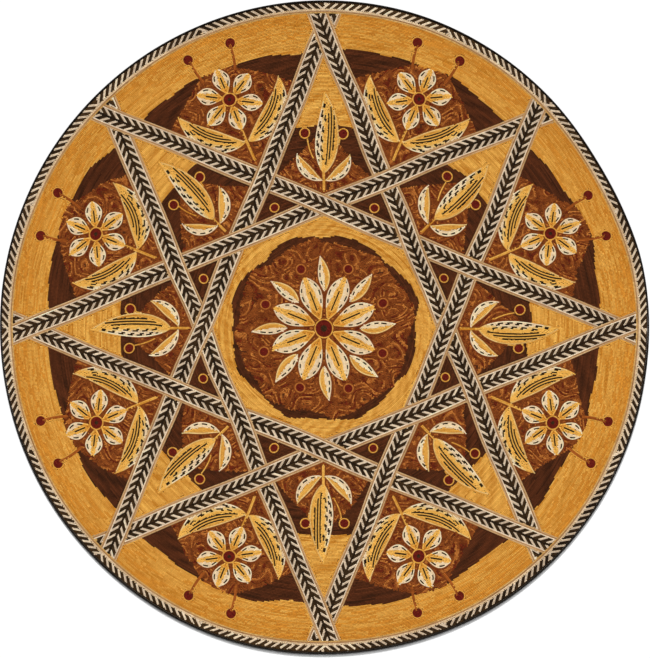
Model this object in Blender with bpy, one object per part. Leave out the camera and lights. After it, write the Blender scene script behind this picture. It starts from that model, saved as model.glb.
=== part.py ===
"""A round hooked rug of wool loops on a foundation cloth, lying flat, with a whipped black edge.

Units are metres. +Z is up, the underside lies at z = 0, and the origin is the middle of the bounding box.
"""

from math import cos, pi, radians, sin

import bmesh
import bpy

# Driving dimensions
MEAN_RADIUS = 0.915  # a rug six feet across, measured over the whipped edge
RUG_HEIGHT = 0.007  # foundation cloth and loops together
EDGE_WIDTH = 0.0055  # the whipped rim, seen from above
EDGE_HEIGHT = 0.0078  # the whipping stands a little proud of the loops
GAP = 0.0003  # clearance between the field and its whipped edge
SHOULDER = 0.0012  # rounding of the field's top rim, where the last loops lean out
STEPS_ROUND = 160  # straight steps round each ring
SECTION_STEPS = 6  # straight steps over the top of the whipped edge
FOOT_WIDTH = 0.62  # share of the whipped edge's width that lies flat on the floor

# How the hand-cut outline departs from a true circle: it is a little tall, with one flat place.
# Columns: bearing in degrees, clockwise from +Y; offset from the mean radius in millimetres.
OUTLINE = (
    (0, 8.5),
    (16, 7.5),
    (30, 1.5),
    (44, -5.5),
    (58, -13.0),
    (68, -9.0),
    (79, -0.5),
    (100, -0.5),
    (122, 2.5),
    (148, 5.0),
    (172, 1.5),
    (198, 3.5),
    (228, -1.0),
    (262, -3.0),
    (292, 0.5),
    (322, 4.5),
    (345, 7.5),
)
MILLIMETRE = 0.001
FULL_TURN = 360.0
SHARP_ANGLE = 40.0  # edges that turn by more than this many degrees stay sharp

# Colours of the plain materials, in linear light
FIELD_COLOUR = (0.37, 0.17, 0.05, 1.0)
EDGE_COLOUR = (0.010, 0.008, 0.007, 1.0)
WOOL_ROUGHNESS = 0.92


def outline_radius(bearing):
    """The rug's radius at a bearing in degrees, on a smooth closed curve through the outline's rows."""
    bearing %= FULL_TURN
    count = len(OUTLINE)
    after = next((i for i, row in enumerate(OUTLINE) if row[0] > bearing), count)
    rows = [OUTLINE[(after + shift) % count] for shift in (-2, -1, 0, 1)]
    turns = [(after + shift) // count for shift in (-2, -1, 0, 1)]
    at = [row[0] + turn * FULL_TURN for row, turn in zip(rows, turns)]
    value = [row[1] for row in rows]
    span = at[2] - at[1]
    share = (bearing - at[1]) / span
    slope_in = (value[2] - value[0]) / (at[2] - at[0]) * span
    slope_out = (value[3] - value[1]) / (at[3] - at[1]) * span
    offset = (
        (2 * share**3 - 3 * share**2 + 1) * value[1]
        + (share**3 - 2 * share**2 + share) * slope_in
        + (3 * share**2 - 2 * share**3) * value[2]
        + (share**3 - share**2) * slope_out
    )
    return MEAN_RADIUS + offset * MILLIMETRE


def ring_points(inset, height, centre=(0.0, 0.0)):
    """Points round the rug, at a distance in from its outline and at one height."""
    points = []
    for step in range(STEPS_ROUND):
        bearing = FULL_TURN * step / STEPS_ROUND
        radius = outline_radius(bearing) - inset
        x = radius * sin(radians(bearing)) - centre[0]
        y = radius * cos(radians(bearing)) - centre[1]
        points.append((x, y, height))
    return points


def box_middle():
    """The middle of the outline's bounding box, which becomes the origin."""
    outline = ring_points(0.0, 0.0)
    middles = []
    for axis in (0, 1):
        values = [point[axis] for point in outline]
        middles.append((min(values) + max(values)) / 2)
    return tuple(middles)


def bridge(mesh, lower, upper):
    """Quads between two rings of vertices, facing out where the rings run clockwise seen from above."""
    count = len(lower)
    for i in range(count):
        j = (i + 1) % count
        mesh.faces.new((lower[j], lower[i], upper[i], upper[j]))


def wool(name, colour):
    material = bpy.data.materials.new(name)
    material.use_nodes = True
    shader = material.node_tree.nodes["Principled BSDF"]
    shader.inputs["Base Color"].default_value = colour
    shader.inputs["Roughness"].default_value = WOOL_ROUGHNESS
    shader.inputs["Metallic"].default_value = 0.0
    return material


def add_object(name, mesh, material):
    data = bpy.data.meshes.new(name)
    bmesh.ops.triangulate(mesh, faces=mesh.faces[:])
    mesh.to_mesh(data)
    mesh.free()
    data.materials.append(material)
    data.shade_smooth()
    data.set_sharp_from_angle(angle=radians(SHARP_ANGLE))
    thing = bpy.data.objects.new(name, data)
    bpy.context.scene.collection.objects.link(thing)
    return thing


def hooked_field(centre):
    """The flat field: a slab with the rug's own outline and a softly rounded top rim."""
    inset = EDGE_WIDTH + GAP
    profile = (
        (inset, 0.0),
        (inset, RUG_HEIGHT - SHOULDER),
        (inset + SHOULDER * (1 - cos(pi / 4)), RUG_HEIGHT - SHOULDER * (1 - sin(pi / 4))),
        (inset + SHOULDER, RUG_HEIGHT),
    )
    mesh = bmesh.new()
    rings = []
    for depth, height in profile:
        rings.append([mesh.verts.new(point) for point in ring_points(depth, height, centre)])
    for lower, upper in zip(rings, rings[1:]):
        bridge(mesh, lower, upper)
    mesh.faces.new(rings[0])
    mesh.faces.new(rings[-1][::-1])
    return add_object("hooked_field", mesh, wool("hooked_wool", FIELD_COLOUR))


def edge_section():
    """The whipped edge's section: a flat foot with a round back, as (inset, height), outer side first."""
    half = EDGE_WIDTH / 2
    foot = half * FOOT_WIDTH
    section = [(half - foot, 0.0)]
    belly = EDGE_HEIGHT / 2
    for step in range(SECTION_STEPS + 1):
        angle = pi * step / SECTION_STEPS
        section.append((half - half * cos(angle), belly + (EDGE_HEIGHT - belly) * sin(angle)))
    section.append((half + foot, 0.0))
    return section


def edge_binding(centre):
    """The whipped edge: one closed ring round the field."""
    mesh = bmesh.new()
    rings = []
    for depth, height in edge_section():
        rings.append([mesh.verts.new(point) for point in ring_points(depth, height, centre)])
    for lower, upper in zip(rings, rings[1:] + rings[:1]):
        bridge(mesh, lower, upper)
    return add_object("edge_binding", mesh, wool("binding_wool", EDGE_COLOUR))


def main():
    for thing in list(bpy.data.objects):
        bpy.data.objects.remove(thing, do_unlink=True)
    centre = box_middle()
    hooked_field(centre)
    edge_binding(centre)


main()
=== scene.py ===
"""The looks of a round hooked rug: its wool loops, the back's stitches, the cloth and the whipped edge.

The pile is planned flat, in millimetres, on a true circle: rows of loops are laid for each band, motif and
ground, thinned where they meet and filled where they gap. The plan is then drawn onto the rug's own uneven
outline and built as one small tent of wool for each loop, with flat stitches under the rows.
"""

from math import cos, log, pi, radians, sin, sqrt, tan, tau

import bpy
import numpy as np
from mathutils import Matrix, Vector


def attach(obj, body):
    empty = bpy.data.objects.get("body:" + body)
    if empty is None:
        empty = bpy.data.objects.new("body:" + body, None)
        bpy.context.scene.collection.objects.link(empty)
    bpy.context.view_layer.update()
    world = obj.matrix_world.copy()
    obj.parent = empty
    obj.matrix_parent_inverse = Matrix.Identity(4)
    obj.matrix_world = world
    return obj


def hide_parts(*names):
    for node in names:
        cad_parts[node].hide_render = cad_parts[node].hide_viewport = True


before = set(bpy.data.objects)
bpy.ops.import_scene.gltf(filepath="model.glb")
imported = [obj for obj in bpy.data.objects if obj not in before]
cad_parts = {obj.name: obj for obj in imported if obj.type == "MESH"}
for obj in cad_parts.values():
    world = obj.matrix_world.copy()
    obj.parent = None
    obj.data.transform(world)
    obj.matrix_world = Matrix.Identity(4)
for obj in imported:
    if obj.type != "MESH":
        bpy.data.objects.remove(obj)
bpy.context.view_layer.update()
RNG = np.random.default_rng(41)

# --- sizes, in millimetres
MM = 0.001
MEAN_RADIUS = 915.0  # a rug six feet across
EDGE_WIDTH = 5.5  # the whipped rim
EDGE_HEIGHT = 7.8
EDGE_GAP = 0.3  # between the whipped rim and the field
FIELD_RADIUS = MEAN_RADIUS - EDGE_WIDTH - EDGE_GAP
PITCH = 3.75  # from row to row, and from loop to loop
LOOP_TOP = 6.75
LOOP_FOOT = 2.9
CLOTH_TOP = 3.1
CLEAR = 0.3 * PITCH  # how far loops keep from a band or motif that lies over them

# How the outline departs from a true circle, as in the solid.
# Columns: bearing in degrees, clockwise from +Y; offset from the mean radius.
OUTLINE = (
    (0, 8.5), (16, 7.5), (30, 1.5), (44, -5.5), (58, -13.0), (68, -9.0), (79, -0.5), (100, -0.5), (122, 2.5),
    (148, 5.0), (172, 1.5), (198, 3.5), (228, -1.0), (262, -3.0), (292, 0.5), (322, 4.5), (345, 7.5),
)
OUTLINE_STEPS = 160

# The rows of loops that make one slanted stroke and the gap after it. 1 is black, 0 ecru.
STROKE_ROWS = (1, 1, 1, 0, 0)
STROKE_SHADES = (0.5, 0.22)  # black's and ecru's
STROKE_SPREAD = 0.2  # from row to row

# The rope border, from the rim inwards
ROPE_OUT = 908.4
ROPE_IN = 891.5
ROPE_ANGLE = radians(40)
ROPE_STROKES = 256
ROPE_LOOPS = 7
ROPE_LOT = 90  # rows of loops hooked from one lot of wool
LOT_SPREAD = 0.14  # in shade, from lot to lot
ROPE_LIFT = 0.1  # how much lighter the rope is than the bands' strokes
# Columns: wool; radius; shade
BORDER_LINES = (("cream", 886.8, 0.15), ("tan", 883.3, 0.5), ("honey", 879.9, 0.5))
GROUND_RADIUS = 878.0
# How many loops just inside the whipped edge are all black, so the dark rim is wider at some bearings than
# at others, most of all at the bottom.
# Columns: the bearing from which it holds; loops, where half a loop is one in every other row.
RIM_LOOPS = (
    (0, 1), (30, 0), (54, 1), (75, 0), (88, 1), (102, 0), (134, 1), (150, 1.5), (212, 1), (250, 0), (354, 1),
)

# The star of interlaced bands
FOLD = 8
STAR_TIP = 833.0
STAR_TURN = pi / FOLD
CHORD = STAR_TIP * cos(3 * pi / FOLD)  # from the rug's middle to the middle of a band
UNDER = (2, 5, 7)  # a band passes under the bands this many turns on, and over the rest
BAND_HALF = 28.2
BAND_REACH = sqrt(GROUND_RADIUS**2 - CHORD**2)  # from a band's middle to where the border begins
OVERRUN = 2.5 * PITCH  # how far a band runs on into the border's lines
BAND_END = BAND_REACH + OVERRUN
# Columns: wool; distance from the middle; shade
BAND_LINES = (("black", 1.75, 0.2), ("ecru", 19.9, 0.45), ("tan", 23.2, 0.45), ("pale", 26.4, 0.1))
LINE_PITCH = 0.97 * PITCH
STROKE_FROM, STROKE_TO = 3.2, 17.8  # the herringbone strokes, from the band's middle
STROKE_ANGLE = radians(38)
STROKE_PITCH = 2.93
STROKE_LOOPS = 6

# --- wools
# Each wool's darkest and lightest strips, in display colours
WOOLS = {
    "gold": ((194, 127, 38), (235, 182, 88)),
    "amber": ((178, 109, 31), (216, 148, 53)),
    "rust": ((102, 44, 14), (156, 85, 35)),
    "ember": ((156, 86, 33), (200, 128, 58)),
    "brick": ((88, 30, 12), (122, 46, 20)),
    "soil": ((58, 30, 13), (98, 50, 25)),
    "cream": ((208, 178, 138), (246, 222, 184)),
    "ecru": ((196, 174, 148), (248, 226, 194)),
    "straw": ((214, 170, 96), (240, 208, 140)),
    "pale": ((190, 152, 104), (224, 190, 142)),
    "honey": ((184, 138, 74), (216, 176, 108)),
    "tan": ((155, 112, 70), (189, 146, 102)),
    "black": ((34, 23, 12), (74, 52, 28)),
    "red": ((84, 18, 12), (124, 38, 24)),
    "russet": ((140, 72, 24), (178, 98, 38)),
}
WOOL_ID = {name: number for number, name in enumerate(WOOLS)}
DYE_LEVEL = 1.13  # makes up for the light that the pile's own shadows take away
DYE_SPREAD = 0.025
BRIGHTEST_DYE = 0.95
STRIP_LOOPS = 17  # loops hooked from one strip before the next begins
GOLD_STRIP = 24
STRIP_RANGE = (0.6, 1.5)  # shortest and longest, as shares of the usual one
LINE_SPREAD = 0.2  # in shade, from strip to strip of a line
GRAIN = 0.12  # in shade, from loop to loop


def linear(display):
    """Linear light from display colours of 0 to 255."""
    share = np.asarray(display, float) / 255
    return np.where(share <= 0.04045, share / 12.92, ((share + 0.055) / 1.055) ** 2.4)


def strip_levels(count, spread, length):
    """One level for each strip of wool along a row, about zero."""
    strips = int(count / length * 1.6) + 3  # more than enough for the row
    shortest, longest = (int(length * share) for share in STRIP_RANGE)
    lengths = RNG.integers(shortest, longest, strips)
    levels = np.repeat(RNG.normal(0.0, spread, strips), lengths)
    return np.resize(levels[RNG.integers(0, length) :], count)


def strip_shades(count, mean=0.5, spread=LINE_SPREAD, grain=GRAIN):
    """Each loop's shade along a row of strips."""
    return mean + strip_levels(count, spread, STRIP_LOOPS) + RNG.normal(0.0, grain, count)


# --- rows of loops
class Pile:
    """Rows of loops. A loop is x, y, the direction of its row, its wool and its shade."""

    def __init__(self):
        self.rows = []

    def add(self, places, turn, wool, shade, keep=None):
        count = len(places)
        columns = [np.broadcast_to(value, count) for value in (turn, wool, shade)]
        row = np.column_stack([places] + columns)
        self.rows.append(row if keep is None else row[keep])

    def loops(self):
        return np.concatenate(self.rows)


def toward(angle):
    """A step of 1 in a direction, or in each of several."""
    return np.stack([np.cos(angle), np.sin(angle)], axis=-1)


def across(angle):
    """A step of 1 to the left of it."""
    return np.stack([-np.sin(angle), np.cos(angle)], axis=-1)


def ring(radius, angles):
    return toward(angles) * np.reshape(radius, (-1, 1))


def grid(line):
    """Every place whose x and y are both among the numbers of a line."""
    return np.array(np.meshgrid(line, line)).reshape(2, -1).T


def from_middle(places):
    return np.hypot(places[:, 0], places[:, 1])


def circle_angles(radius):
    count = max(3, int(round(tau * radius / PITCH)))
    return np.arange(count) * tau / count + RNG.uniform(0, tau)


# --- bands and border
def band_angle(i):
    """The direction from the rug's middle to the middle of band i."""
    return STAR_TURN + i * tau / FOLD


def off_band(places, i):
    return places @ toward(band_angle(i)) - CHORD


def in_any_band(places, margin=CLEAR):
    return np.any([np.abs(off_band(places, i)) < BAND_HALF + margin for i in range(FOLD)], axis=0)


def on_ground(places):
    return ~in_any_band(places) & (from_middle(places) < GROUND_RADIUS)


def shows_in_band(places, i):
    """Whether each place of band i is inside the border and not under another band."""
    keep = from_middle(places) < ROPE_IN - OVERRUN
    for turn in UNDER:
        keep &= np.abs(off_band(places, i + turn)) > BAND_HALF + CLEAR
    return keep


def band_row(angle, off, reach, pitch):
    """Places along a band, at a distance outwards from its middle."""
    along = np.linspace(-reach, reach, int(2 * reach / pitch))
    return toward(angle) * (CHORD + off) + along[:, None] * across(angle)


def add_band_lines(pile, i):
    angle = band_angle(i)
    for name, off, mean in BAND_LINES:
        for side in (1, -1):
            places = band_row(angle, side * off, BAND_END, LINE_PITCH)
            shade = strip_shades(len(places), mean)
            pile.add(places, angle + pi / 2, WOOL_ID[name], shade, shows_in_band(places, i))


def in_stroke(j):
    """Whether slanted row j is part of a black stroke."""
    return STROKE_ROWS[j % len(STROKE_ROWS)] == 1


def add_slanted(pile, places, turn, black, lift=0.0, keep=None):
    """A slanted row, black or ecru, with its own shade and a little change from loop to loop."""
    shade = np.where(black, *STROKE_SHADES) + RNG.normal(0, STROKE_SPREAD) + RNG.normal(0, GRAIN, len(black))
    pile.add(places, turn, np.where(black, WOOL_ID["black"], WOOL_ID["ecru"]), shade + lift, keep)


def add_band_strokes(pile, i, side):
    angle = band_angle(i)
    out = (np.arange(STROKE_LOOPS) + 0.5) / STROKE_LOOPS * (STROKE_TO - STROKE_FROM)
    step = STROKE_PITCH / sin(STROKE_ANGLE)
    for j in range(int(2 * BAND_END / step)):
        along = -BAND_END + j * step + out / tan(STROKE_ANGLE)
        off = CHORD + side * (STROKE_FROM + out)
        places = off[:, None] * toward(angle) + along[:, None] * across(angle)
        turn = angle + pi / 2 - side * STROKE_ANGLE
        add_slanted(pile, places, turn, np.full(STROKE_LOOPS, in_stroke(j)), keep=shows_in_band(places, i))


def rim_loops(angles):
    """How many loops are black inside the whipped edge at each angle."""
    starts, loops = np.transpose(RIM_LOOPS)
    bearing = (90 - np.degrees(angles)) % 360
    return loops[np.searchsorted(starts, bearing, side="right") - 1]


def add_border(pile):
    """Thin lines, and a rope of slanted strokes that lean towards the star's tips from both sides."""
    for name, radius, mean in BORDER_LINES:
        angles = circle_angles(radius)
        pile.add(ring(radius, angles), angles + pi / 2, WOOL_ID[name], strip_shades(len(angles), mean))
    middle = (ROPE_IN + ROPE_OUT) / 2
    depth = ROPE_OUT - ROPE_IN
    rows = len(STROKE_ROWS) * ROPE_STROKES
    lots = ROPE_LIFT + strip_levels(rows, LOT_SPREAD, ROPE_LOT)
    place = np.arange(ROPE_LOOPS)
    out = (place + 0.5) / ROPE_LOOPS * depth
    for j in range(rows):
        lean = 1 if j // (rows // (2 * FOLD)) % 2 else -1
        angles = STAR_TURN + tau * j / rows + lean * (out - depth / 2) / tan(ROPE_ANGLE) / middle
        turn = angles + pi / 2 - lean * (pi / 2 - ROPE_ANGLE)
        black = in_stroke(j) | (place + j % 2 / 2 >= ROPE_LOOPS - rim_loops(angles))
        add_slanted(pile, ring(ROPE_IN + out, angles), turn, black, lots[j])


# --- motif shapes
VEIN_SHADE = 0.7
BLACK_SHADE = 0.25  # the lines and dashes in motifs
ECHO_SHADE = 0.4  # the row of the ground's wool round each motif and band


def spaced(curve, share):
    """Loops a pitch apart on a curve: their places, directions and shares of the motif's length."""
    steps = np.hypot(*np.diff(curve, axis=0).T)
    run = np.r_[0, np.cumsum(steps)]
    count = max(1, int(round(run[-1] / PITCH)))
    at_run = (np.arange(count) + 0.5) / count * run[-1]
    places = np.column_stack([np.interp(at_run, run, curve[:, k]) for k in (0, 1)])
    angles = np.unwrap(np.arctan2(*np.diff(curve, axis=0).T[::-1]))
    turn = np.interp(at_run, (run[1:] + run[:-1]) / 2, angles)
    return places, turn, np.interp(at_run, run, share)


class Leaf:
    """A leaf or petal on a bent midrib, hooked in rows that follow its outline."""

    POINTS = 81
    SPREAD, GRAIN = 0.14, 0.08
    THINNEST = (-0.5, -0.1)  # how far under no width at all the outer row and the others still run

    def __init__(self, base, heading, length, width, bend=0.0, belly=0.5, point=0.9, lit=1, style=None):
        self.share = np.linspace(0, 1, self.POINTS)
        self.length = length
        headings = heading + bend * self.share
        steps = ring(length / (self.POINTS - 1), (headings[1:] + headings[:-1]) / 2)
        self.rib = np.vstack([np.zeros(2), np.cumsum(steps, axis=0)]) + base
        self.sideways = across(headings)
        swell = np.sin(pi * self.share ** (log(0.5) / log(belly)))
        self.half = width / 2 * np.clip(swell, 0, 1) ** point
        self.lit = lit
        self.style = style

    def covers(self, places, margin):
        """Whether each place lies within the outline, grown by a margin."""
        reach = self.half.max() + margin
        near = np.all((places > self.rib.min(0) - reach) & (places < self.rib.max(0) + reach), axis=1)
        hit = np.zeros(len(places), bool)
        if near.any():
            gap = places[near][:, None] - self.rib
            off = np.hypot(gap[..., 0], gap[..., 1])
            hit[near] = off.min(axis=1) - self.half[off.argmin(axis=1)] < margin
        return hit

    def echo(self, pile):
        """One row of the ground's wool round the outline."""
        for side in (1, -1):
            places, turn, _ = self.line(side * (self.half + 0.5 * PITCH), self.share >= 0)
            pile.add(places, turn, ground_wools(places, ECHO_SHADE), ECHO_SHADE)

    def line(self, off, keep):
        """A row of loops at a distance to the left of the midrib, where keep allows one."""
        if keep.sum() < 2:
            return None
        curve = self.rib + self.sideways * np.reshape(off, (-1, 1))
        return spaced(curve[keep], self.share[keep])

    def vein(self, pile, off, wool, first, last):
        inside = np.abs(off) < self.half - 0.5 * PITCH
        row = self.line(np.full(self.POINTS, off), inside & (self.share > first) & (self.share < last))
        if row:
            pile.add(row[0], row[1], WOOL_ID[wool], BLACK_SHADE if wool == "black" else VEIN_SHADE)

    def hook(self, pile):
        veins, colours = self.style
        for off, wool, first, last in veins:
            self.vein(pile, off * self.lit, wool, first, last)
        for row in range(int(self.half.max() / PITCH + 1)):
            for side in (1, -1):
                off = self.half - (row + 0.5) * PITCH
                inside = np.maximum(off, 0.0)
                found = self.line(side * inside, off > self.THINNEST[row > 0] * PITCH)
                if not found:
                    continue
                places, turn, share = found
                depth = np.interp(share, self.share, inside) / self.half.max()
                names, mean = colours(self, side == self.lit, row, share, depth)
                wool = np.array([WOOL_ID[name] for name in names])
                mean = np.where(wool == WOOL_ID["black"], BLACK_SHADE, mean)
                shade = strip_shades(len(share), 0.0, self.SPREAD, self.GRAIN) + mean
                pile.add(places, turn, wool, shade)


def dashes(leaf, share, start, period, length):
    """Which loops of a row lie in dashes, all in millimetres."""
    return (share * leaf.length + start) % period < length


def plain(share, wool, mean):
    return np.full(len(share), wool, object), np.full(len(share), mean)


# A motif's colours take whether the row is on its pale side, the row's number from the outline in, and each
# loop's share of the length and of the depth. They give each loop's wool and mean shade.

# Columns: row; where its first dash starts; how long its dashes are
BROAD_LEAF_DASHES = ((1, 4, 17), (2, 7, 10), (4, 16, 15), (5, 19, 8))


def broad_leaf_colours(leaf, lit, row, share, depth):
    """Cream with black dashes on one side, gold on the other."""
    if not lit:
        return plain(share, "straw", 0.3) if row == 0 else plain(share, "gold", 1.0 - 0.55 * depth)
    names, mean = plain(share, "cream", 0.85 if row == 0 else 0.6)
    for inside, wool, level in ((0.46, "straw", 0.55), (0.26, "gold", 0.9)):
        names[depth < inside] = wool
        mean[depth < inside] = level
    for dashed, start, length in BROAD_LEAF_DASHES:
        if row == dashed:
            dash = dashes(leaf, share, start, 27, length)
            names[dash & (share > 0.14) & (share < 0.86) & (depth > 0.12)] = "black"
    return names, mean


def small_leaf_colours(leaf, lit, row, share, depth):
    """Cream with a row of black dashes on one side, gold on the other."""
    if not lit:
        return plain(share, "straw" if row == 0 else "gold", 0.6)
    names, mean = plain(share, "cream", 0.75)
    if row == 1:
        dash = dashes(leaf, share, 3, 22, 12)
        names[dash & (share > 0.15) & (share < 0.85)] = "black"
    return names, mean


def petal_colours(leaf, lit, row, share, depth):
    """Cream with a row of black dashes, and gold towards the flower's middle."""
    names, mean = plain(share, "cream", 0.85 if row == 0 else 0.6)
    inner = depth < 0.62 - 0.45 * share
    names[inner] = "gold"
    mean[inner] = 0.9
    names[(share < 0.3) & (row > 0)] = "amber"
    if row == 1:
        dash = dashes(leaf, share, 0, 24, 12)
        names[dash & (share > 0.3) & (share < 0.92)] = "black"
    return names, mean


# A motif's veins and its colours.
# Columns of a vein: millimetres to the left of the midrib; its wool; first and last share of the length.
BROAD_LEAF = (
    (
        (-3.0, "black", 0.1, 0.74),
        (-6.8, "gold", 0.1, 0.86),
        (-10.6, "black", 0.18, 0.82),
        (-14.4, "gold", 0.2, 0.84),
        (-18.2, "black", 0.3, 0.72),
    ),
    broad_leaf_colours,
)
SMALL_LEAF = ((), small_leaf_colours)
PETAL = (((0, "black", 0.24, 0.68), (3.8, "gold", 0.2, 0.76), (-3.8, "gold", 0.2, 0.76)), petal_colours)


class Stem(Leaf):
    """A line of one or two rows on a bent path."""

    SECOND_ROW = 0.6  # how much of the length the second row runs along

    def __init__(self, base, heading, length, bend=0.0, wool="russet", rows=2):
        super().__init__(base, heading, length, rows * PITCH, bend)
        self.half[:] = rows * PITCH / 2
        self.wool = wool
        self.rows = rows

    def hook(self, pile):
        for row in range(self.rows):
            off = np.full(self.POINTS, (row - (self.rows - 1) / 2) * PITCH)
            places, turn, share = self.line(off, self.share <= (self.SECOND_ROW if row else 1))
            pile.add(places, turn, WOOL_ID[self.wool], strip_shades(len(share)))


class Berry:
    """A disc hooked in circles, with one wool for each circle from the outside in."""

    def __init__(self, centre, wools, radius):
        self.centre = np.asarray(centre, float)
        self.wools = wools
        self.radius = radius

    def covers(self, places, margin):
        return from_middle(places - self.centre) < self.radius + margin

    def echo(self, pile):
        angles = circle_angles(self.radius + 0.5 * PITCH)
        places = self.centre + ring(self.radius + 0.5 * PITCH, angles)
        pile.add(places, angles + pi / 2, ground_wools(places, ECHO_SHADE), ECHO_SHADE)

    def hook(self, pile):
        for row in range(int(self.radius / PITCH + 0.5)):
            radius = self.radius - (row + 0.5) * PITCH
            wool = WOOL_ID[self.wools[min(row, len(self.wools) - 1)]]
            if radius < 0.3 * PITCH:
                pile.add(self.centre[None, :], 0.0, wool, 0.5)
                continue
            angles = circle_angles(radius)
            shade = 0.5 + RNG.normal(0, 0.15, len(angles))
            pile.add(self.centre + ring(radius, angles), angles + pi / 2, wool, shade)


# --- motifs
RED_BERRY = ("red", "red", "red")
GOLD_BERRY = ("gold", "red", "red", "red")


def at(axis, out, left=0):
    """The place a distance out along a region's axis and a distance to its left."""
    return toward(axis) * out + across(axis) * left


def middle_flower():
    """Eight petals, with a small leaf and a berry between each two."""
    shapes = [Berry((0, 0), ("gold", "red", "red", "red", "red", "black"), 28)]
    for i in range(FOLD):
        axis = band_angle(i)
        shapes.append(Leaf(at(axis, 22), axis, length=134, width=62, belly=0.6, point=0.75, style=PETAL))
    for i in range(FOLD):
        axis = band_angle(i) + pi / FOLD
        leaf = Leaf(at(axis, 104), axis, length=100, width=34, bend=0.25, belly=0.45, style=SMALL_LEAF)
        shapes += [leaf, Berry(at(band_angle(i), 180), ("ember", "red", "red", "red"), 15)]
    return shapes


def point_spray(i):
    """The bud, two leaves and two berries in a point of the star."""
    axis = band_angle(i) + pi / FOLD
    shapes = [Leaf(at(axis, 436), axis - 0.18, length=226, width=66, bend=0.36, belly=0.4, style=BROAD_LEAF)]
    for side in (1, -1):
        base, heading, bend = at(axis, 414, side * 3), axis + side * radians(74), -side * radians(62)
        shapes += [
            Leaf(base, heading, length=112, width=34, bend=bend, lit=side, style=SMALL_LEAF),
            Berry(at(axis, 548, side * 54), GOLD_BERRY, 15.5),
            Stem(at(axis, 478, side * 28), axis + side * 0.5, 62, bend=-side * 0.4, wool="gold", rows=1),
        ]
    return shapes + [Stem(at(axis, 386), axis, 52, wool="gold")]


def rim_spray(i):
    """The flower, two leaves and two berries between two points of the star."""
    axis = band_angle(i)
    flower = at(axis, 694)
    shapes = [Berry(flower, ("gold", "red", "red", "red", "black"), 20)]
    for j in range(6):
        heading = axis + j * tau / 6
        base = flower + toward(heading) * 15
        shapes.append(Leaf(base, heading, length=76, width=48, belly=0.6, point=0.75, style=PETAL))
    for side in (1, -1):
        base, heading, bend = at(axis, 566, side * 4), axis + side * radians(80), -side * radians(66)
        shapes += [
            Leaf(base, heading, length=214, width=62, bend=bend, belly=0.45, lit=side, style=BROAD_LEAF),
            Stem(at(axis, 764, side * 48), axis + side * 0.35, 70, bend=-side * 0.3),
            Berry(at(axis, 838, side * 64), RED_BERRY, 13.5),
        ]
    return shapes + [Stem(at(axis, 512), axis, 104, wool="gold")]


def motifs():
    shapes = middle_flower()
    for i in range(FOLD):
        shapes += point_spray(i) + rim_spray(i)
        shapes.append(Berry(at(band_angle(i), 366), GOLD_BERRY, 14))
    return shapes


# --- grounds
RUST, SOIL, GOLD = 0, 1, 2
WAVES = (3, 5, 11, 17, 26, 39)  # waves round the rug in a hand-drawn edge
AMBER_FROM = 690.0  # the gold deepens from here to the border


def wavy(angles, seed, size):
    phases = np.random.default_rng(seed).uniform(0, tau, len(WAVES))
    return size * sum(np.cos(k * angles + phase) / (1 + k / 14) for k, phase in zip(WAVES, phases))


def ground(places):
    """The ground at each place. Each region has gold outside, rust inside and dark soil under the gold."""
    out = from_middle(places)
    angles = np.arctan2(places[:, 1], places[:, 0])
    turn = angles - STAR_TURN
    from_axis = np.abs((turn + pi / FOLD) % (tau / FOLD) - pi / FOLD)
    to_rim_axis = out * np.sin(from_axis)
    to_point_axis = out * np.sin(pi / FOLD - from_axis)
    # The regions are the middle, the small triangles, all soil, the points of the star and the rim
    gold_from = (
        262 + 6 * np.cos(FOLD * turn) + wavy(angles, 5, 3.0),
        MEAN_RADIUS,
        576 + wavy(angles, 9, 5.0),
        790 + wavy(angles, 15, 6.0) - 0.05 * to_rim_axis,
    )
    soil_depth = (
        24 * np.abs(np.sin(FOLD / 2 * (turn + 0.3))) ** 0.8,
        MEAN_RADIUS,
        10 + 0.9 * to_point_axis,
        np.clip(0.55 * (to_rim_axis - 40), 0, 84),
    )
    beyond = sum((off_band(places, i) > 0).astype(int) for i in range(FOLD))
    region = np.minimum(beyond, 3)
    gold_edge = np.choose(region, gold_from)
    kind = np.where(out > gold_edge, GOLD, SOIL)
    return np.where(out > gold_edge - np.choose(region, soil_depth), kind, RUST)


def ground_wools(places, shade):
    """Gold deepens to amber towards the rim."""
    kind = ground(places)
    outward = (from_middle(places) - AMBER_FROM) / (GROUND_RADIUS - AMBER_FROM)
    gold = np.where(outward + 1.4 * (shade - 0.5) > 0.9, WOOL_ID["amber"], WOOL_ID["gold"])
    return np.select([kind == GOLD, kind == SOIL], [gold, WOOL_ID["soil"]], WOOL_ID["rust"])


def add_outlines(pile):
    """One row of the ground's wool along each side of each band."""
    for i in range(FOLD):
        angle = band_angle(i)
        for side in (1, -1):
            places = band_row(angle, side * (BAND_HALF + 0.5 * PITCH), BAND_REACH, PITCH)
            shade = ECHO_SHADE + strip_levels(len(places), LINE_SPREAD, STRIP_LOOPS)
            pile.add(places, angle + pi / 2, ground_wools(places, shade), shade, on_ground(places))


PATCH_WAVES = 9  # waves in the field that makes parts of the arcs lighter
PATCH_ROUND = (16, 70)  # waves round the rug
PATCH_ACROSS = (22, 70)  # wavelengths from the rim inwards
PATCH_SHADE = 0.13
ARC_SPREAD, ARC_GRAIN = 0.19, 0.07


def patches(radius, angles):
    """Lighter and darker patches along the arcs, where neighbouring rows were hooked from one wool."""
    random = np.random.default_rng(31)
    value = np.zeros(len(angles))
    for _ in range(PATCH_WAVES):
        turns = random.integers(*PATCH_ROUND)
        phase = turns * angles + tau * radius / random.uniform(*PATCH_ACROSS) + random.uniform(0, tau)
        value += np.cos(phase)
    return value * sqrt(2 / PATCH_WAVES)


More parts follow.
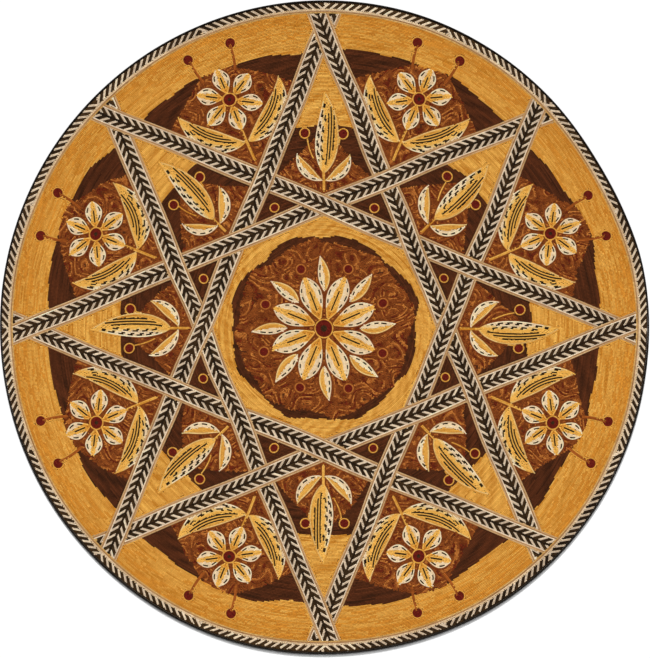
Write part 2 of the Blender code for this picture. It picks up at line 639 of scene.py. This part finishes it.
def add_arcs(pile):
    """Gold and soil, hooked in arcs that follow the rim."""
    for row in range(int(GROUND_RADIUS / PITCH)):
        radius = GROUND_RADIUS - (row + 0.5) * PITCH
        angles = circle_angles(radius)
        places = ring(radius, angles)
        strips = strip_levels(len(angles), ARC_SPREAD, GOLD_STRIP)
        shade = 0.5 + PATCH_SHADE * patches(radius, angles) + strips
        keep = (ground(places) != RUST) & on_ground(places)
        grain = RNG.normal(0, ARC_GRAIN, len(angles))
        pile.add(places, angles + pi / 2, ground_wools(places, shade), shade + grain, keep)


SWIRL_WAVES = 14  # plane waves in the field whose contours the rows follow
SWIRL_LENGTHS = (60, 125)
SWIRL_STREAK = 17.0  # from one light streak to the next, where the rows run straight
SWIRL_STRAIGHT = 0.5  # how much the streaks run straight
SWIRL_CURL = 1.25  # how much they curl
SWIRL_ROW_LOOPS = 11
SWIRL_SPACING = 14.0  # from one row's start to the next
SWIRL_SHIFT = 6.0  # how far a row's start is off its place
EMBER_ABOVE, BRICK_BELOW = 0.5, -0.66  # a streak's lightest and darkest wools


def swirl_field(places):
    """A smooth field whose contours bend and curl, and the directions of its contours."""
    random = np.random.default_rng(23)
    value = places[:, 1] / SWIRL_STREAK * SWIRL_STRAIGHT
    slope = np.tile([0.0, SWIRL_STRAIGHT / SWIRL_STREAK], (len(places), 1))
    for _ in range(SWIRL_WAVES):
        wave = toward(random.uniform(0, tau)) * tau / random.uniform(*SWIRL_LENGTHS)
        phase = places @ wave + random.uniform(0, tau)
        size = SWIRL_CURL / (np.hypot(*wave) * SWIRL_STREAK * sqrt(SWIRL_WAVES / 2))
        value = value + size * np.sin(phase)
        slope = slope + (size * np.cos(phase))[:, None] * wave
    return value, np.arctan2(slope[:, 0], -slope[:, 1])


def add_swirls(pile):
    """Rust, hooked in short rows that curl, in lighter and darker streaks."""
    side = int(GROUND_RADIUS / SWIRL_SPACING) + 1
    starts = grid(np.arange(-side, side + 1) * SWIRL_SPACING)
    starts = starts + RNG.uniform(-SWIRL_SHIFT, SWIRL_SHIFT, starts.shape)
    starts = starts[from_middle(starts) < GROUND_RADIUS]
    starts = starts[RNG.permutation(len(starts))]
    rows = []
    for way in (1, -1):
        places = starts.copy()
        for step in range(SWIRL_ROW_LOOPS):
            _, turn = swirl_field(places)
            if step or way == 1:
                rows.append(np.column_stack([places, turn]))
            places = places + way * PITCH * toward(turn)
    loops = np.stack(rows, axis=1).reshape(-1, 3)
    loops = loops[(ground(loops[:, :2]) == RUST) & on_ground(loops[:, :2])]
    value, turn = swirl_field(loops[:, :2])
    strength = 0.7 + 0.3 * np.sin(loops[:, 0] / 9 + 3 * np.floor(value)) * np.cos(loops[:, 1] / 11)
    beat = np.cos(tau * value) * strength
    shade = 0.5 + 0.46 * beat + RNG.normal(0, 0.14, len(loops))
    others = [WOOL_ID["ember"], WOOL_ID["brick"]]
    wool = np.select([beat > EMBER_ABOVE, beat < BRICK_BELOW], others, WOOL_ID["rust"])
    shade = np.where(wool == WOOL_ID["rust"], shade, RNG.normal(0.45, 0.24, len(loops)))
    pile.add(loops[:, :2], turn, wool, shade)


# --- thinning and filling
NEAREST = 0.70 * PITCH  # loops closer than this are one too many
WIDEST = 0.72 * PITCH  # a place farther than this from every loop is a gap
FILL_STEP = 0.45 * PITCH  # between the places where gaps are looked for
FILL_INSET = 0.4 * PITCH  # how far they keep from the field's rim
BLACK_LEAD = 1.2  # how much nearer than any other wool the black must be to fill a gap
CELLS_REACH = MEAN_RADIUS + 20  # half a side of the square of cells over the rug
MOTIF_CLEAR = 0.35 * PITCH  # how far a motif keeps from the motifs hooked before it
BAND_CLEAR = 0.4 * PITCH  # how far it keeps from the bands


def thin(places, least):
    """Marks each place, in order, that lies clear of those marked before it."""
    cells = {}
    keep = np.zeros(len(places), bool)
    for number, (x, y) in enumerate(places.tolist()):
        column, line = int(x // least), int(y // least)
        around = [cells.get((column + a, line + b), ()) for a in (-1, 0, 1) for b in (-1, 0, 1)]
        if all((px - x) ** 2 + (py - y) ** 2 >= least * least for cell in around for px, py in cell):
            cells.setdefault((column, line), []).append((x, y))
            keep[number] = True
    return keep


def nearest_loop(loops, places, slots=4):
    """Each place's distance to the nearest loop, and which loop that is, from a grid of cells."""
    side = int(2 * CELLS_REACH / PITCH)

    def cell(points):
        return ((points + CELLS_REACH) / PITCH).astype(int).T

    column, line = cell(loops[:, :2])
    key = column * side + line
    order = np.argsort(key, kind="stable")
    ordered = key[order]
    first = np.r_[True, ordered[1:] != ordered[:-1]]
    index = np.arange(len(ordered))
    slot = index - np.maximum.accumulate(np.where(first, index, 0))
    table = np.full((side * side, slots), -1, int)
    fits = slot < slots
    table[ordered[fits], slot[fits]] = order[fits]
    px, py = cell(places)
    best = np.full(len(places), np.inf)
    which = np.full(len(places), -1, int)
    for a in (-1, 0, 1):
        for b in (-1, 0, 1):
            here = np.clip((px + a) * side + py + b, 0, side * side - 1)
            for number in table[here].T:
                gap = (loops[number, 0] - places[:, 0]) ** 2 + (loops[number, 1] - places[:, 1]) ** 2
                better = (number >= 0) & (gap < best)
                best = np.where(better, gap, best)
                which = np.where(better, number, which)
    return np.sqrt(best), which


def fill(loops):
    """Adds a loop in each gap, of its nearest neighbour's wool, and keeps black to its own lines."""
    side = int(FIELD_RADIUS / FILL_STEP)
    places = grid(np.arange(-side, side + 1) * FILL_STEP)
    places = places[from_middle(places) < FIELD_RADIUS - FILL_INSET]
    gap, which = nearest_loop(loops, places)
    order = np.argsort(-gap, kind="stable")
    order = order[gap[order] > WIDEST]
    order = order[thin(places[order], WIDEST)]
    places, gap, which = places[order], gap[order], which[order]
    pale = np.flatnonzero(loops[:, 3] != WOOL_ID["black"])
    pale_gap, pale_which = nearest_loop(loops[pale], places)
    which = np.where(pale_gap < gap + BLACK_LEAD, pale[pale_which], which)
    extra = loops[which].copy()
    extra[:, :2] = places
    return np.concatenate([loops, extra])


def plan_pile():
    """The loops that lie in rows, and all the loops."""
    top = Pile()
    add_border(top)
    for i in range(FOLD):
        add_band_lines(top, i)
        add_band_strokes(top, i, 1)
        add_band_strokes(top, i, -1)
    shapes = motifs()
    for number, shape in enumerate(shapes):
        part = Pile()
        shape.hook(part)
        loops = part.loops()
        keep = ~in_any_band(loops[:, :2], BAND_CLEAR)
        for other in shapes[:number]:
            keep &= ~other.covers(loops[:, :2], MOTIF_CLEAR)
        top.rows.append(loops[keep])
    base = Pile()
    for shape in shapes:
        shape.echo(base)
    loops = base.loops()
    base.rows = [loops[on_ground(loops[:, :2])]]
    add_outlines(base)
    add_swirls(base)
    add_arcs(base)
    loops = base.loops()
    keep = np.ones(len(loops), bool)
    for shape in shapes:
        keep &= ~shape.covers(loops[:, :2], CLEAR)
    loops = np.concatenate([top.loops(), loops[keep]])
    rows = loops[thin(loops[:, :2], NEAREST)]
    return rows, fill(rows)


# --- from the plan to the rug
def outline_offsets(bearings):
    """How far the outline stands out at each bearing, on the smooth curve through the outline's rows."""
    place, value = np.transpose([(row[0] + turn, row[1]) for turn in (-360, 0, 360) for row in OUTLINE])
    slope = (np.roll(value, -1) - np.roll(value, 1)) / (np.roll(place, -1) - np.roll(place, 1))
    after = np.searchsorted(place, bearings, side="right")
    before = after - 1
    span = place[after] - place[before]
    share = (bearings - place[before]) / span
    return (
        (2 * share**3 - 3 * share**2 + 1) * value[before]
        + (share**3 - 2 * share**2 + share) * slope[before] * span
        + (3 * share**2 - 2 * share**3) * value[after]
        + (share**3 - share**2) * slope[after] * span
    )


def by_bearing(radius, bearings):
    angles = np.radians(bearings)
    return np.column_stack([radius * np.sin(angles), radius * np.cos(angles)])


BEARINGS = np.arange(OUTLINE_STEPS) * 360 / OUTLINE_STEPS
RADII = MEAN_RADIUS + outline_offsets(BEARINGS)
RIM = by_bearing(RADII, BEARINGS)
BOX_MIDDLE = (RIM.min(axis=0) + RIM.max(axis=0)) / 2  # the solids' origin, seen from the circle's middle
WOBBLES = 7  # plane waves in the hand-drawn unevenness
WOBBLE_SIZE = 1.3
WOBBLE_LENGTHS = (190, 430)


def rim_radius(bearings):
    return np.interp(bearings, np.r_[BEARINGS, 360], np.r_[RADII, RADII[0]])


def onto_rug(places):
    """Metres on the rug from millimetres on the plan, drawn out to the uneven rim, with a little wobble."""
    out = from_middle(places) / MEAN_RADIUS
    rim = rim_radius(np.degrees(np.arctan2(places[:, 0], places[:, 1])) % 360)
    drawn = places * (1 + (rim / MEAN_RADIUS - 1) * out**2)[:, None]
    random = np.random.default_rng(7)
    for _ in range(WOBBLES):
        wave = toward(random.uniform(0, tau)) * tau / random.uniform(*WOBBLE_LENGTHS)
        push = toward(random.uniform(0, tau)) * WOBBLE_SIZE
        strength = np.sin(places @ wave + random.uniform(0, tau)) * np.clip(1 - out**8, 0, 1)
        drawn = drawn + strength[:, None] * push
    return (drawn - BOX_MIDDLE) * MM


# --- materials
WOOL_SHADER = {"Roughness": 0.95, "Specular IOR Level": 0.06, "Sheen Weight": 0.02, "Sheen Roughness": 0.6}


class Look:
    """A material while it is made."""

    def __init__(self, name, settings):
        self.material = bpy.data.materials.new(name)
        self.material.use_nodes = True
        self.tree = self.material.node_tree
        self.shader = self.tree.nodes["Principled BSDF"]
        self.feed(self.shader, settings)

    def feed(self, node, inputs):
        """Sets each input of a node to a value, or links it to another node's output."""
        for name, value in inputs.items():
            if isinstance(value, bpy.types.NodeSocket):
                self.tree.links.new(value, node.inputs[name])
            else:
                node.inputs[name].default_value = value

    def add(self, kind, output, inputs, **settings):
        """The named output of a new node."""
        node = self.tree.nodes.new(kind)
        for name, value in settings.items():
            setattr(node, name, value)
        self.feed(node, inputs)
        return node.outputs[output]

    def math(self, operation, *values):
        return self.add("ShaderNodeMath", "Value", dict(enumerate(values)), operation=operation)

    def bump(self, height, strength, distance):
        inputs = {"Height": height, "Strength": strength, "Distance": distance}
        self.feed(self.shader, {"Normal": self.add("ShaderNodeBump", "Normal", inputs)})

    def dye(self, value, low, high, lowest=0.0, highest=1.0):
        """Each loop's dye, scaled from low, where a value is at its lowest, to high."""
        ends = {"From Min": lowest, "From Max": highest, "To Min": low, "To Max": high}
        level = self.add("ShaderNodeMapRange", "Result", {"Value": value, **ends})
        dye = self.add("ShaderNodeAttribute", "Color", {}, attribute_name="dye")
        scaled = self.add("ShaderNodeVectorMath", "Vector", {0: dye, "Scale": level}, operation="SCALE")
        self.feed(self.shader, {"Base Color": scaled})


FIBRE_NOISE = (0.3, 0.7)  # the noise's usual lowest and highest values


def fibre_wool(name, scale, distance, low, high):
    """Dyed wool whose fine fibres show in its colour and in its bump."""
    look = Look(name, WOOL_SHADER)
    place = look.add("ShaderNodeTexCoord", "Object", {})
    fibres = look.add("ShaderNodeTexNoise", "Fac", {"Vector": place, "Scale": scale, "Detail": 3.0})
    look.bump(fibres, 0.5, distance)
    look.dye(fibres, low, high, *FIBRE_NOISE)
    return look.material


def stitch_wool():
    """Flat stitches on the back, each a loop's pitch long, that dip where the strip goes up, with painted
    shade in the dips.
    """
    look = Look("stitch_wool", WOOL_SHADER)
    place = look.add("ShaderNodeUVMap", "UV", {}, uv_map="stitch")
    along = look.add("ShaderNodeSeparateXYZ", "X", {"Vector": place})
    swells = []
    for way in (along, along.node.outputs["Y"]):
        share = look.math("FRACT", way)
        swells.append(look.math("POWER", look.math("SINE", look.math("MULTIPLY", share, pi)), 0.5))
    swell = look.math("MULTIPLY", *swells)
    look.bump(swell, 0.7, 0.0008)
    # Painted shade: the colour darkens with the swell, to 0.45 of the dye in the dips at a stitch's ends and
    # edges.
    look.dye(swell, 0.45, 1.05)
    return look.material


LINEN_COLOURS = ((118, 92, 62), (186, 158, 118))  # between the threads, darker as painted shade, and on them
WEAVE_SCALE = 31.0  # 620 threads to the metre, 20 for each unit of the wave texture's scale


def linen():
    """Plain weave: warp and weft threads that pass over each other in turn."""
    look = Look("foundation_linen", WOOL_SHADER)
    place = look.add("ShaderNodeTexCoord", "Object", {})
    inputs = {"Vector": place, "Scale": WEAVE_SCALE, "Distortion": 0.6, "Detail": 1.0}
    threads = [look.add("ShaderNodeTexWave", "Fac", inputs, bands_direction=axis) for axis in ("X", "Y")]
    weave = look.math("MULTIPLY", *threads)
    # Painted shade: the weave's colour darkens where the threads dip, as its bump does.
    colour = look.add("ShaderNodeValToRGB", "Color", {"Fac": weave})
    for stop, shade in zip(colour.node.color_ramp.elements, LINEN_COLOURS):
        stop.color = (*linear(shade), 1)
    look.feed(look.shader, {"Base Color": colour})
    look.bump(weave, 0.6, 0.0005)
    return look.material


# --- meshes
def put(items, name, values, kind=np.float32):
    """Sets one property of every item."""
    items.foreach_set(name, np.asarray(values, kind).ravel())


def into_scene(name, data):
    thing = bpy.data.objects.new(name, data)
    bpy.context.scene.collection.objects.link(thing)
    return thing


def build(name, points, corners, size, material, dyes=None, map_scale=1.0):
    """An object from arrays: points, the corners of its faces, and how many corners each face has."""
    mesh = bpy.data.meshes.new(name)
    mesh.vertices.add(len(points))
    put(mesh.vertices, "co", points)
    mesh.loops.add(len(corners))
    put(mesh.loops, "vertex_index", corners, np.int32)
    mesh.polygons.add(len(corners) // size)
    put(mesh.polygons, "loop_start", np.arange(0, len(corners), size), np.int32)
    mesh.update(calc_edges=True)
    mesh.shade_smooth()
    if dyes is not None:
        attribute = mesh.color_attributes.new("dye", "FLOAT_COLOR", "POINT")
        put(attribute.data, "color", np.column_stack([dyes, np.ones(len(dyes))]))
    # The map is the mesh as seen from above, in a square of side 1
    low, high = points[:, :2].min(axis=0), points[:, :2].max(axis=0)
    place = ((points[:, :2] - low) / (high - low).max())[corners] * map_scale
    put(mesh.uv_layers.new(name="OFBake").data, "uv", place)
    mesh.materials.append(material)
    mesh.validate()
    return into_scene(name, mesh)


def dye_of(loops):
    """Each loop's colour in linear light."""
    dark, light = np.swapaxes(linear(list(WOOLS.values())), 0, 1)
    wool = loops[:, 3].astype(int)
    shade = np.clip(loops[:, 4], 0, 1)[:, None]
    level = RNG.normal(DYE_LEVEL, DYE_SPREAD, (len(loops), 1))
    return np.clip((dark[wool] * (1 - shade) + light[wool] * shade) * level, 0, BRIGHTEST_DYE)


TILE = 375.0  # side of the squares into which the pile is split
LOOP_HALF = 0.58 * PITCH
LOOP_HALF_RANGE = (0.94, 1.08)  # shares of it, from the smallest loop to the largest
TOP_SHIFT = 0.22  # how far a loop's top leans from its middle
TOP_SPREAD = 0.28  # how much the loops differ in height
TOP_RANGE = (-0.7, 0.6)
PAINTED_FOOT_SHADE = 0.72  # painted shade: each tent's foot is darkened to this share of its dye, for the light that wool deep in the pile does not get


def pile_tile(name, loops, dyes, material):
    """One square of the pile: for each loop, a smooth four-sided tent with its foot in the cloth."""
    count = len(loops)
    middle = loops[:, :2]
    lengthwise, sideways = toward(loops[:, 2]), across(loops[:, 2])
    half = LOOP_HALF * RNG.uniform(*LOOP_HALF_RANGE, (count, 1))
    signs = ((-1, -1), (1, -1), (1, 1), (-1, 1))
    flat = [middle + half * (a * lengthwise + b * sideways) for a, b in signs]
    flat.append(middle + RNG.normal(0, TOP_SHIFT, (count, 2)))
    top = LOOP_TOP + np.clip(RNG.normal(0, TOP_SPREAD, count), *TOP_RANGE)
    heights = [np.full(count, LOOP_FOOT)] * 4 + [top]
    placed = [np.column_stack([onto_rug(xy), z * MM]) for xy, z in zip(flat, heights)]
    points = np.stack(placed, axis=1).reshape(-1, 3)
    fan = np.array([0, 1, 4, 1, 2, 4, 2, 3, 4, 3, 0, 4])
    corners = (np.arange(count)[:, None] * 5 + fan).ravel()
    # Painted shade: the four feet of each tent are darker than its top.
    painted_shades = np.array([PAINTED_FOOT_SHADE] * 4 + [1.0])
    colour = (dyes[:, None] * painted_shades[:, None]).reshape(-1, 3)
    return build(name, points, corners, 3, material, colour)


def make_pile(loops, dyes):
    material = fibre_wool("hooked_wool", scale=1100.0, distance=0.0005, low=0.88, high=1.1)
    tile = np.floor(loops[:, :2] / TILE + 0.5).astype(int)
    tile += 1 - tile.min(axis=0)
    tiles = []
    for column, line in np.unique(tile, axis=0):
        here = np.all(tile == (column, line), axis=1)
        tiles.append(pile_tile(f"pile_{column}_{line}", loops[here], dyes[here], material))
    return tiles


STITCH_LOOPS = 4  # loops of one row whose stitches are one long quad
LINKED = 1.5 * PITCH  # loops of one wool that follow within this distance are in one row
STITCH_OVERRUN = 0.96 * PITCH  # how much longer a quad is than from its first loop to its last
STITCH_WIDTH = 0.84 * PITCH
SWIRL_STITCH_WIDTH = 1.3 * PITCH  # the rust's rows lie farther apart, so their stitches spread
STITCH_HEIGHTS = (0.05, 0.4)
STITCH_EDGE = 0.02  # share of the swell that a stitch's long edges leave off
CLOTH_UNDER = 0.45


def back_stitches(loops, dyes):
    """The back of the rug, where the flat stitches between the loops show the design again."""
    step = np.hypot(*np.diff(loops[:, :2], axis=0).T)
    linked = (step < LINKED) & (loops[1:, 3] == loops[:-1, 3])
    index = np.arange(len(loops))
    run_start = np.maximum.accumulate(np.where(np.r_[True, ~linked], index, 0))
    first = np.flatnonzero((index - run_start) % STITCH_LOOPS == 0)
    last = np.r_[first[1:], len(loops)] - 1
    ends = loops[last, :2] - loops[first, :2]
    reach = np.hypot(*ends.T)
    turn = np.where(last > first, np.arctan2(ends[:, 1], ends[:, 0]), loops[first, 2])
    middle = (loops[first, :2] + loops[last, :2]) / 2
    spreads = np.isin(loops[first, 3], [WOOL_ID[name] for name in ("rust", "ember", "brick")])
    width = np.where(spreads, SWIRL_STITCH_WIDTH, STITCH_WIDTH)
    lengthwise = toward(turn) * ((reach + STITCH_OVERRUN) / 2)[:, None]
    sideways = across(turn) * (width / 2)[:, None]
    height = RNG.uniform(*STITCH_HEIGHTS, len(first)) * MM
    signs = ((-1, -1), (-1, 1), (1, 1), (1, -1))
    flat = [onto_rug(middle + a * lengthwise + b * sideways) for a, b in signs]
    points = np.stack([np.column_stack([xy, height]) for xy in flat], axis=1).reshape(-1, 3)
    corners = np.arange(len(points))
    back = build("back_stitches", points, corners, 4, stitch_wool(), np.repeat(dyes[first], 4, axis=0))
    along = np.array([0.0, 0.0, 1.0, 1.0]) * (last - first + 1)[:, None]
    over = np.tile([STITCH_EDGE, 1 - STITCH_EDGE, 1 - STITCH_EDGE, STITCH_EDGE], (len(first), 1))
    put(back.data.uv_layers.new(name="stitch").data, "uv", np.stack([along, over], axis=2))
    return back


def rim_ring(inset, height, steps):
    """Points round the rug at a distance in from its outline, in metres."""
    bearings = np.arange(steps) * 360 / steps
    flat = by_bearing(rim_radius(bearings) - inset, bearings)
    return np.column_stack([flat - BOX_MIDDLE, np.full(steps, height)]) * MM


def strip_between(rings, steps, closed):
    """Corner numbers of the quads between each ring and the next."""
    low = np.arange(rings * steps).reshape(rings, steps)
    high = np.roll(low, -1, axis=0)
    quads = np.stack([np.roll(low, -1, axis=1), low, high, np.roll(high, -1, axis=1)], axis=2)
    return quads[: rings if closed else rings - 1].reshape(-1, 4)


CLOTH_RINGS = (0, 60, 260, 520, 780)  # how far in from the field's rim the cloth's rings of points lie
TOP_MAP_SCALE = 0.1  # the top's map is small, in a corner that the round underside leaves free
FEET_AND_SHADE_COLOUR = (74, 44, 24)  # where the cloth's top shows between loops: the loops' packed feet, painted dark as shade


def foundation():
    """The foundation cloth, with the feet of the loops packed in it, its top painted dark as the shade
    between the loops.
    """
    steps = 2 * OUTLINE_STEPS
    profile = [(depth, CLOTH_UNDER) for depth in CLOTH_RINGS[::-1]]
    profile += [(depth, CLOTH_TOP) for depth in CLOTH_RINGS]
    rings = [rim_ring(EDGE_WIDTH + EDGE_GAP + depth, height, steps) for depth, height in profile]
    middle = np.array([[*-BOX_MIDDLE, height] for height in (CLOTH_UNDER, CLOTH_TOP)]) * MM
    points = np.concatenate(rings + [middle])
    quads = strip_between(len(rings), steps, closed=False)
    under, over = quads[:steps, [1, 0, 0]], quads[-steps:, [3, 2, 2]]
    under[:, 2] = len(points) - 2
    over[:, 2] = len(points) - 1
    triangles = np.concatenate([quads[:, [0, 1, 2]], quads[:, [0, 2, 3]], under, over])
    on_top = points[triangles, 2].min(axis=1) > (CLOTH_UNDER + CLOTH_TOP) / 2 * MM
    map_scale = np.where(np.repeat(on_top, 3), TOP_MAP_SCALE, 1.0)[:, None]
    cloth = build("foundation_cloth", points, triangles.ravel(), 3, linen(), map_scale=map_scale)
    # Painted shade: the cloth's top is one dark brown, for the shadow between the loops.
    feet = Look("feet_in_painted_shade", {**WOOL_SHADER, "Base Color": (*linear(FEET_AND_SHADE_COLOUR), 1)})
    cloth.data.materials.append(feet.material)
    put(cloth.data.polygons, "material_index", on_top, np.int32)
    return cloth


WRAPS = 1960  # turns of whipping yarn round the whole rim
WRAP_POINTS = 8  # points round the section of a turn
WRAP_VALLEY = 0.4  # how deep the dips between turns are
WRAP_VALLEY_RANGE = (0.7, 1.1)  # shares of it
WRAP_SLANT = 1.1  # how far a turn runs along the rim, from its middle to its side
WRAP_COLOUR = (30, 25, 20)
WRAP_SHADES = (0.6, 1.5)


def whipped_edge():
    """Turn by turn of yarn over the rim, with a dip between each two."""
    steps = 2 * WRAPS
    half, belly = EDGE_WIDTH / 2, EDGE_HEIGHT / 2
    valley = np.where(np.arange(steps) % 2, WRAP_VALLEY, 0.0) * RNG.uniform(*WRAP_VALLEY_RANGE, steps)
    swell = 1.0 - valley / half
    core = rim_ring(half, 0.0, steps)[:, :2]
    along = np.roll(core, -1, axis=0) - core
    along /= np.linalg.norm(along, axis=1)[:, None]
    rings = []
    for k in range(WRAP_POINTS):
        angle = -pi / 2 + tau * k / WRAP_POINTS
        out, up = cos(angle), sin(angle)
        height = np.minimum(belly + belly * up * swell, EDGE_HEIGHT)
        smooth = rim_ring(half - half * out, 0.0, steps)[:, :2]
        flat = core + (smooth - core) * swell[:, None] + along * (WRAP_SLANT * out * MM)
        rings.append(np.column_stack([flat, height * MM]))
    quads = strip_between(WRAP_POINTS, steps, closed=True)[:, ::-1]
    shade = np.repeat(RNG.uniform(*WRAP_SHADES, WRAPS), 2)
    dyes = np.tile(linear(WRAP_COLOUR) * shade[:, None], (WRAP_POINTS, 1))
    material = fibre_wool("binding_wool", scale=1600.0, distance=0.0004, low=0.8, high=1.25)
    return build("whipped_edge", np.concatenate(rings), quads.ravel(), 4, material, dyes)


# --- floor, light and camera
FLOOR_SIDE = 30.0
FLOOR_COLOUR = (0.9, 0.9, 0.9, 1)
# Columns: name; azimuth, clockwise from +Y as seen from above; elevation; strength; spread in degrees
SUNS = (("window", -4, 33, 3.9, 8), ("ceiling", 8, 54, 1.3, 30))
ROOM_LIGHT = 0.18
FRAME_PIXELS = (650, 658)
RUG_IN_FRAME = (324.1, 328.4)  # the rug's middle in the photo, in pixels from the left and from the top
RUG_RADIUS_IN_FRAME = 325.3
CAMERA_HEIGHT = 7.0
SENSOR = 36.0


def add_floor():
    bpy.ops.mesh.primitive_plane_add(size=FLOOR_SIDE, location=(0, 0, 0))
    floor = bpy.context.object
    floor.name = "floor"
    floor.data.materials.append(Look("pale_floor", {"Base Color": FLOOR_COLOUR, "Roughness": 0.9}).material)


def add_lights():
    """Soft suns and a little light from all round."""
    for name, azimuth, elevation, strength, spread in SUNS:
        light = bpy.data.lights.new(name, "SUN")
        light.energy = strength
        light.angle = radians(spread)
        a, e = radians(azimuth), radians(elevation)
        source = Vector((sin(a) * cos(e), cos(a) * cos(e), sin(e)))
        into_scene(name, light).rotation_euler = source.to_track_quat("Z", "Y").to_euler()
    world = bpy.data.worlds.new("studio")
    world.use_nodes = True
    background = world.node_tree.nodes["Background"].inputs
    background["Color"].default_value = (1, 1, 1, 1)
    background["Strength"].default_value = ROOM_LIGHT
    bpy.context.scene.world = world


def add_camera():
    """Straight above, with the rug where the photo has it."""
    pixel = MEAN_RADIUS * MM / RUG_RADIUS_IN_FRAME  # in metres on the rug
    data = bpy.data.cameras.new("camera")
    data.sensor_width = SENSOR
    data.lens = SENSOR * (CAMERA_HEIGHT - LOOP_TOP * MM) / (max(FRAME_PIXELS) * pixel)
    off_rug = (np.array(FRAME_PIXELS) / 2 - RUG_IN_FRAME) * (pixel, -pixel)
    camera = into_scene("camera", data)
    camera.location = (*(off_rug - BOX_MIDDLE * MM), CAMERA_HEIGHT)
    bpy.context.scene.camera = camera


# --- the rug
def make_rug():
    rows, loops = plan_pile()
    dyes = dye_of(loops)
    tiles = make_pile(loops, dyes)
    back = back_stitches(rows, dyes[: len(rows)])
    cloth = foundation()
    edge = whipped_edge()
    for piece in tiles + [back, cloth]:
        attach(piece, "root")
        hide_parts("hooked_field")
    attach(edge, "root")
    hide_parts("edge_binding")


def main():
    bpy.context.scene.view_settings.view_transform = "Standard"
    make_rug()
    add_floor()
    add_lights()
    add_camera()


main()
